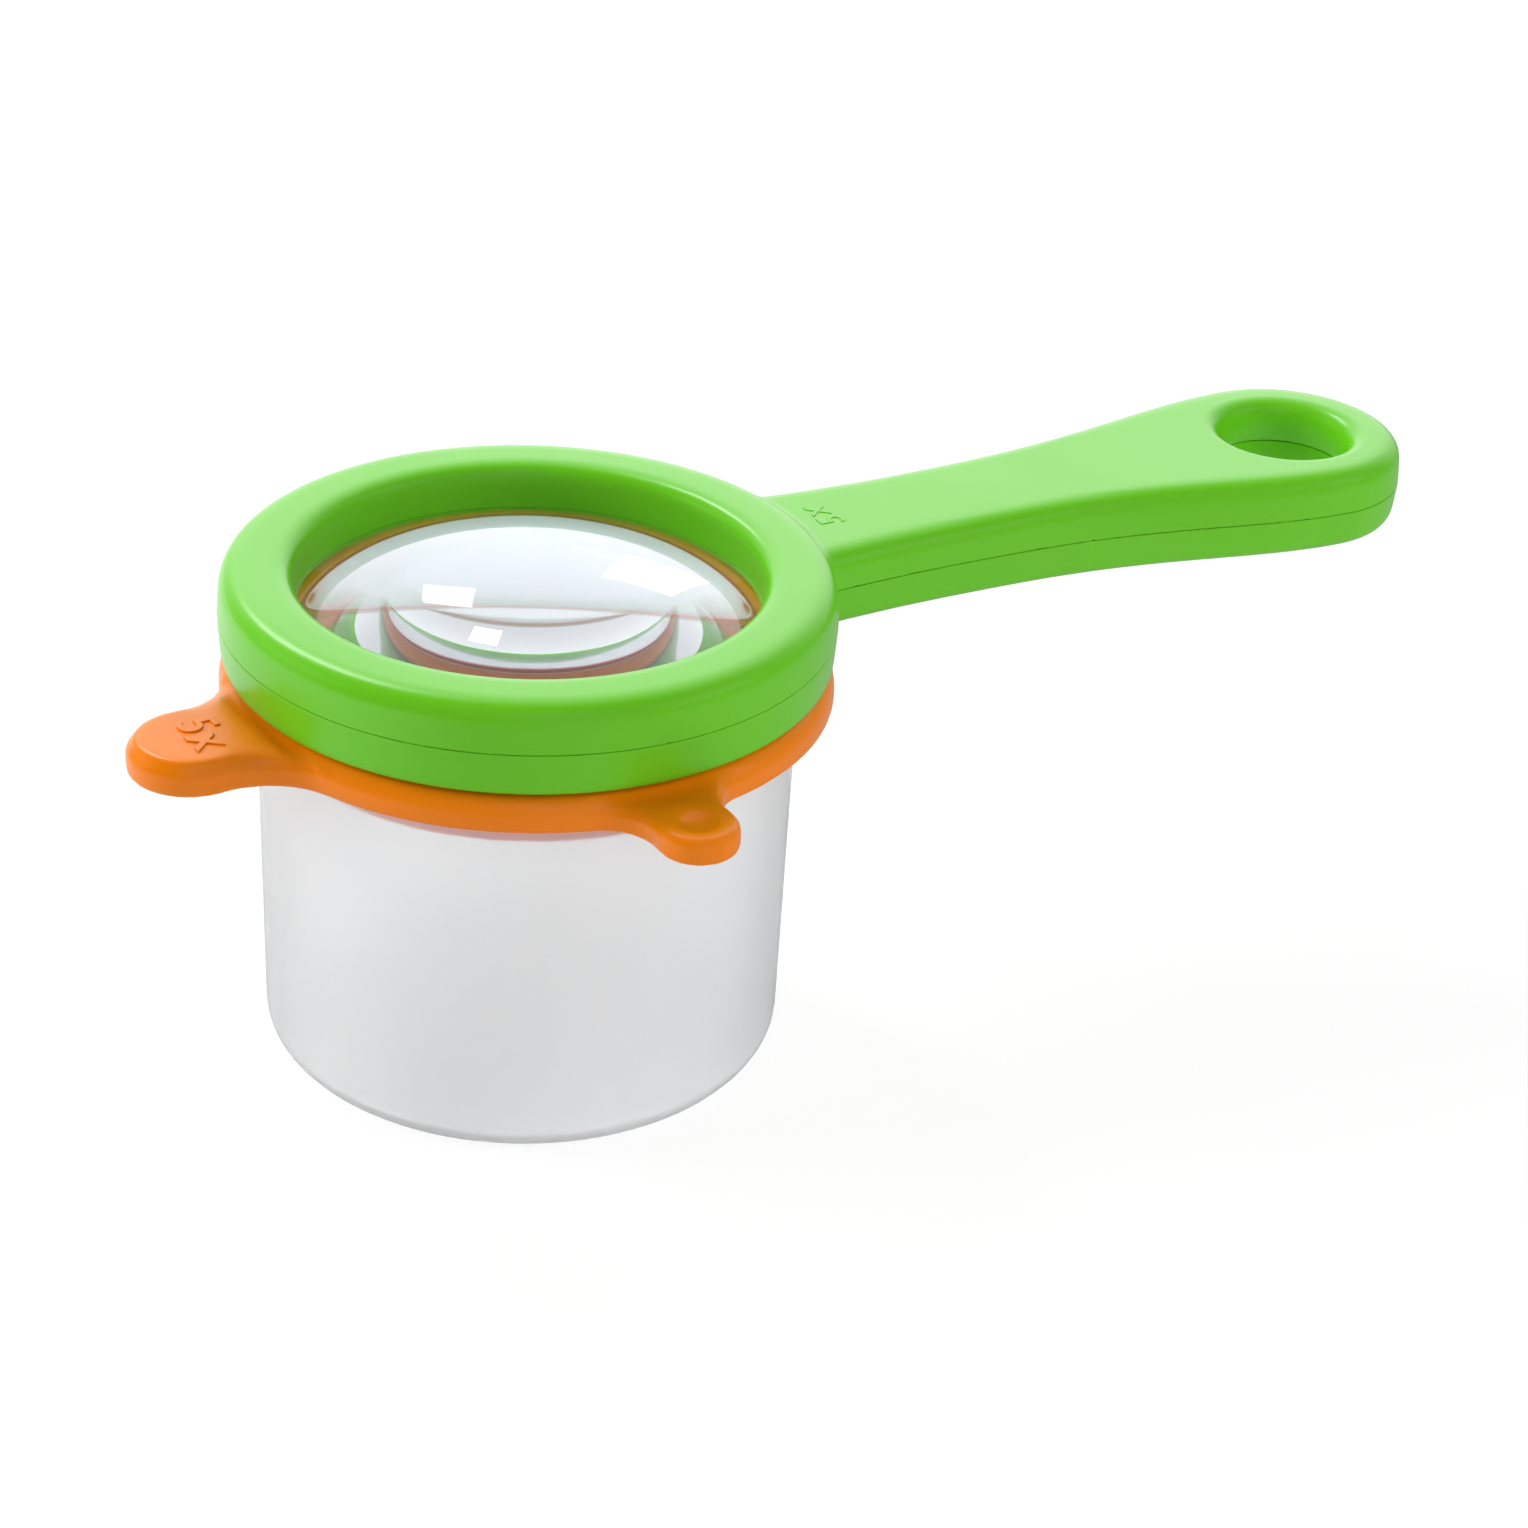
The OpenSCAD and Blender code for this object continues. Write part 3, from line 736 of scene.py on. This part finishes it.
def makeLid(s):
    top, rim, low = place["lidTop"], place["ringRadius"], place["rimLow"]
    mouth, skirt, inner = place["jarMouth"], s["skirtInside"], s["innerEdge"]
    tabTop = low + s["tabHeight"]
    lid = turned("lidMoulding", roundedProfile([
        (skirt, low, 0), (rim, low, s["rimLowEdge"]), (rim, top, s["rimEdge"]), (inner, top, 0),
        (inner, mouth, 0), (skirt, mouth, 0)]), 256)
    pull = makeTab(pullTab, s)
    dishOut(pull, pullTab, s)
    pocketOut(pull, pullTab, s)
    turnedAbout(pull, pullTab["angle"])
    small = makeTab(smallTab, s)
    scoopOut(small, smallTab["reach"] - smallTab["half"], tabTop, smallTab["dimpleRadius"],
             smallTab["dimpleRadius"], smallTab["dimpleDepth"])
    turnedAbout(small, smallTab["angle"])
    joinSolid(lid, pull)
    joinSolid(lid, small)
    remeshed(lid, s["voxel"], 4)
    blendTab(lid, pullTab, s)
    blendTab(lid, smallTab, s)
    step = 0.02
    plate = turned("plate", roundedProfile([
        (s["pocket"], mouth + step, 0), (s["grooveMiddle"] - s["grooveHalf"], mouth + step, 0),
        (s["grooveMiddle"] - s["grooveHalf"], mouth + s["grooveDepth"], 0),
        (s["grooveMiddle"] + s["grooveHalf"], mouth + s["grooveDepth"], 0),
        (s["grooveMiddle"] + s["grooveHalf"], mouth + step, 0), (inner + 1, mouth + step, 0),
        (inner + 1, top - step, 0), (s["collarOutside"], top - step, 0),
        (s["collarOutside"], top + s["collarTop"], s["collarEdge"]),
        (s["window"], top + s["collarTop"], s["collarEdge"]), (s["window"], top - s["cover"], 0),
        (s["pocket"], top - s["cover"], 0)]), 256)
    joinSolid(lid, plate)
    return lid


lid = makeLid(lidSizes)
smooth(lid, 40)
finished(lid, "lid", ["lid"], orangePlastic)
tabMark = raisedMark("tabMark", pullTab["mark"], lid)
turnedAbout(tabMark, pullTab["angle"])
laidOn(tabMark, lid)
smooth(tabMark)
finished(tabMark, "lid", None, orangePlastic)
print("lid made")


# Lens ring: plugs the jar's mouth, and its shelf holds the lid's lens up against the lid

ringSizes = {
    "plugInside": 32.0, "plugOutside": 33.6, "plugDepth": 7.0, "plugEdges": (0.4, 0.8), "web": 1.5,
    "shelfInside": 28.6, "shelfThick": 1.5, "seat": 29.44, "play": 0.04, "tongueInside": 31.0, "tongue": 1.0,
}


def makeLensRing(s):
    mouth = place["jarMouth"]
    shelf = lidLens["flangeTop"] - lidLens["flange"] - s["play"]
    low = mouth - s["plugDepth"]
    return turned("lensRing", roundedProfile([
        (s["shelfInside"], shelf - s["shelfThick"], 0.3), (s["tongueInside"], shelf - s["shelfThick"], 0),
        (s["tongueInside"], mouth - s["web"], 0), (s["plugInside"], mouth - s["web"], 0),
        (s["plugInside"], low, s["plugEdges"][0]), (s["plugOutside"], low, s["plugEdges"][1]),
        (s["plugOutside"], mouth - 0.02, 0), (s["plugInside"], mouth - 0.02, 0),
        (s["plugInside"], mouth + s["tongue"], 0.15), (s["tongueInside"], mouth + s["tongue"], 0.15),
        (s["tongueInside"], mouth - 0.02, 0), (s["seat"], mouth - 0.02, 0),
        (s["seat"], shelf, 0), (s["shelfInside"], shelf, 0.3)], steps=4), 256)


lensRing = makeLensRing(ringSizes)
smooth(lensRing)
finished(lensRing, "lid_core", ["lens_ring"], redPlastic)
print("lens ring made")


# Studio: pale floor, soft lamps and the camera

studio = {
    "middle": (0.03, 0, 0.05), "level": 0.15, "wallSide": 60, "wallHeight": 25, "wallStrength": 2.4,
    "floor": 0.2, "floorSeen": 0.85, "floorThrough": 1.05, "floorBounce": 0.7, "skyThrough": 0.7,
    # how far from the middle the floor starts and ends turning as white as the sky
    "whiteFrom": 0.4, "whiteTo": 1.2,
    # what gloss sees of the floor: the side it brightens towards in degrees, how far in metres, strength
    "sheens": [(130, 0.13, 1.0), (20, 0.12, 0.3)],
    "lamps": {
        # side and height in degrees, distance and size in metres, watts, whether gloss shows it
        "topLight": (60, 52, 1.0, (0.8, 0.8), 2.2, False),
        "rightLight": (318, 28, 1.0, (0.5, 0.5), 3.3, False),
        "leftLight": (152, 22, 1.0, (0.5, 0.5), 6.4, False),
        "frontLight": (262, 10, 1.0, (0.7, 0.25), 1.0, False),
        "slopeLight": (255, 42, 1.0, (0.6, 0.5), 1.7, False),
        "edgeLight": (103, 48, 1.0, (0.16, 0.45), 3.2, True),
        "backPanel": (53, 22, 1.2, (0.17, 0.28), 0.4, True),
    },
}


def makeFloor():
    clearSelection()
    bpy.ops.mesh.primitive_plane_add(size=4)
    floor = bpy.context.object
    floor.name = "floor"
    floor.location.z = -0.02 * mm
    material, shader, at = newMaterial("paleFloor")
    shader.inputs["Base Color"].default_value = (studio["floor"], studio["floor"], studio["floor"], 1)
    shader.inputs["Roughness"].default_value = 0.9
    shader.inputs["Specular IOR Level"].default_value = 0.0
    path = at.tree.nodes.new("ShaderNodeLightPath")
    seen = Socket(at.tree, path.outputs["Is Camera Ray"])
    through = Socket(at.tree, path.outputs["Is Transmission Ray"])
    gloss = Socket(at.tree, path.outputs["Is Glossy Ray"])
    diffuse = Socket(at.tree, path.outputs["Is Diffuse Ray"])
    away = at.node("ShaderNodeVectorMath", {"operation": "LENGTH"}, {0: at}, 1)
    white = ramp(away, studio["whiteFrom"], studio["whiteTo"]) * (1 - studio["floorSeen"])
    glow = seen * (white + studio["floorSeen"]) + through * studio["floorThrough"]
    glow = glow + diffuse * studio["floorBounce"]
    for side, reach, strength in studio["sheens"]:
        facing = at.node("ShaderNodeVectorMath", {"operation": "DOT_PRODUCT"}, {0: at, 1: aimed(side, 0)}, 1)
        glow = glow + gloss * ramp(facing, 0, reach) * strength
    shader.inputs["Emission Color"].default_value = (1, 1, 1, 1)
    link(glow, shader, "Emission Strength")
    floor.data.materials.append(material)


def makeWorld():
    world = bpy.data.worlds.new("studio")
    bpy.context.scene.world = world
    world.use_nodes = True
    tree = world.node_tree
    background = tree.nodes["Background"]
    path = tree.nodes.new("ShaderNodeLightPath")
    seen = Socket(tree, path.outputs["Is Camera Ray"])
    gloss = Socket(tree, path.outputs["Is Glossy Ray"])
    through = Socket(tree, path.outputs["Is Transmission Ray"])
    sight = Socket(tree, tree.nodes.new("ShaderNodeTexCoord").outputs["Generated"])
    facing = sight.node("ShaderNodeVectorMath", {"operation": "DOT_PRODUCT"},
                        {0: sight, 1: aimed(studio["wallSide"], studio["wallHeight"])}, 1)
    wall = facing.maths("MAXIMUM", facing, 0.0) ** 3 * studio["wallStrength"]
    up = ramp(sight.node("ShaderNodeSeparateXYZ", None, {"Vector": sight}, 2), 0.1, 0.5)
    sky = 1 - up * (1 - studio["skyThrough"])
    clear = seen.maths("MAXIMUM", seen, through)
    hidden = gloss * wall + (1 - gloss) * studio["level"]
    strength = seen + (clear - seen) * sky + (1 - clear) * hidden
    background.inputs["Color"].default_value = (1, 1, 1, 1)
    tree.links.new(strength.socket, background.inputs["Strength"])


def aimed(side, height):
    # direction from the side it comes from and its height, both in degrees
    side, height = math.radians(side), math.radians(height)
    return Vector((math.cos(side) * math.cos(height), math.sin(side) * math.cos(height), math.sin(height)))


def softbox(name, side, height, distance, size, power, mirrored):
    lamp = bpy.data.lights.new(name, "AREA")
    lamp.shape = "RECTANGLE"
    lamp.size, lamp.size_y = size
    lamp.energy = power
    holder = bpy.data.objects.new(name, lamp)
    bpy.context.scene.collection.objects.link(holder)
    holder.visible_glossy = holder.visible_transmission = mirrored
    holder.location = Vector(studio["middle"]) + aimed(side, height) * distance
    holder.rotation_euler = (-aimed(side, height)).to_track_quat("-Z", "Y").to_euler()


def lightOnly(name, pieces):
    # light linking: the lamp reaches these pieces alone
    reached = bpy.data.collections.new(name + "Reach")
    for piece in pieces:
        reached.objects.link(piece)
    bpy.data.objects[name].light_linking.receiver_collection = reached


def makeCamera():
    # the photograph's camera: place and directions in the object's frame
    data = bpy.data.cameras.new("camera")
    camera = bpy.data.objects.new("camera", data)
    bpy.context.scene.collection.objects.link(camera)
    data.lens, data.sensor_width = 81.78, 36
    position = Vector((-171.91, -364.35, 262.69)) * mm
    aim = Vector((8.17, -48.99, 62.2)) * mm
    roll = 3.30
    level = (aim - position).to_track_quat("-Z", "Y")
    camera.matrix_world = (Matrix.Translation(position) @ level.to_matrix().to_4x4()
                           @ Matrix.Rotation(math.radians(roll), 4, "Z"))
    data.clip_start, data.clip_end = 0.01, 20
    bpy.context.scene.camera = camera


makeFloor()
makeWorld()
for name, lamp in studio["lamps"].items():
    softbox(name, *lamp)
lightOnly("backPanel", [upperLens, lowerLens])
lightOnly("edgeLight", [topShell, powerMark, bottomShell, lid, tabMark, jar, bpy.data.objects["floor"]])
makeCamera()
bpy.context.scene.view_settings.view_transform = "Standard"
# light that runs round inside the lenses turns more often than the usual limits allow
bpy.context.scene.cycles.max_bounces = 16
bpy.context.scene.cycles.glossy_bounces = 12
bpy.context.scene.cycles.transmission_bounces = 16
print("studio made")
